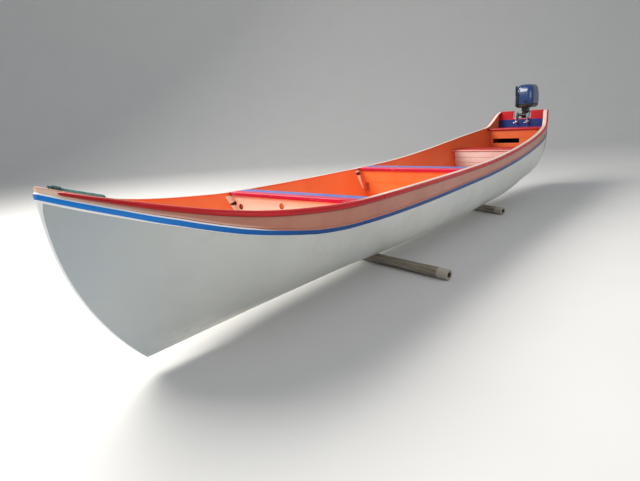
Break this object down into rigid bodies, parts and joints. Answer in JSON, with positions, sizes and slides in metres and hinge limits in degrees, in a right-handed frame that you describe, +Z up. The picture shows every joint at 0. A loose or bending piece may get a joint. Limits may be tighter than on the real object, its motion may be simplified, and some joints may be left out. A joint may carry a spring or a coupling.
{
  "type": "motor canoe",
  "caption": "Long moulded open canoe with thwarts, bulkheads, a grooved aft seat, a high stern and a tilting, steering outboard motor, lying ashore across round timbers.",
  "frame": {"origin": "on the ground below the middle of the overall length, under the keel", "axes": "+X towards the bow, +Y to port, +Z up"},
  "size_m": [7.4685, 1.6738, 1.5883],
  "materials": {
    "hull_white": "gloss gel coat",
    "belt_blue": "gloss gel coat",
    "rail_red": "gloss paint",
    "deck_salmon": "satin paint",
    "rope_teal": "worn laid rope",
    "thwart_blue": "gloss paint",
    "bulkhead_cream": "satin paint",
    "inside_orange": "satin paint",
    "clamp_metal": "cast",
    "screw_metal": "plated",
    "motor_black": "satin paint",
    "pan_black": "satin",
    "cowl_blue": "gloss",
    "engine_metal": "cast block",
    "grip_rubber": "matte",
    "propeller_metal": "cast",
    "timber_grey": "weathered bark-free round wood"
  },
  "bodies": {
    "canoe": {"hull_shell": "hull_white", "blue_belt": "belt_blue", "rub_rail_port": "rail_red", "rub_rail_starboard": "rail_red", "gunwale_cap_port": "hull_white", "gunwale_cap_starboard": "hull_white", "bow_deck": "deck_salmon", "painter": "rope_teal", "thwart_forward": "thwart_blue", "thwart_middle": "thwart_blue", "bulkhead_forward": "bulkhead_cream", "bulkhead_middle": "inside_orange", "seat_front": "inside_orange", "seat_back": "inside_orange", "seat_top": "rail_red", "seat_panel": "hull_white", "stern_deck": "rail_red", "stern_bulkhead": "inside_orange", "transom": "rail_red", "clamp_plate_port": "clamp_metal", "clamp_screw_port": "screw_metal", "clamp_plate_starboard": "clamp_metal", "clamp_screw_starboard": "screw_metal", "tilt_tube": "screw_metal", "timber_middle": "timber_grey", "timber_aft": "timber_grey"},
    "swivel": {"swivel_bracket": "motor_black"},
    "motor": {"steering_spindle": "motor_black", "motor_leg": "motor_black", "gearcase": "motor_black", "motor_pan": "pan_black", "motor_cowl": "cowl_blue", "powerhead": "engine_metal", "carry_handle": "pan_black", "starter_pull": "grip_rubber", "tiller_arm": "pan_black", "tiller_grip": "grip_rubber"},
    "propeller": {"propeller": "propeller_metal"}
  },
  "joints": [
    {"name": "motor_tilt", "type": "hinge", "parent": "canoe", "child": "swivel", "pos_m": [-3.3412, 0, 1.1443], "axis": [0, 1, 0], "range_deg": [0, 70]},
    {"name": "motor_steer", "type": "hinge", "parent": "swivel", "child": "motor", "pos_m": [-3.4042, 0, 1.0363], "axis": [0, 0, 1], "range_deg": [-40, 40]},
    {"name": "propeller_spin", "type": "hinge", "parent": "motor", "child": "propeller", "pos_m": [-3.6962, 0, 0.3543], "axis": [1, 0, 0], "continuous": true}
  ]
}
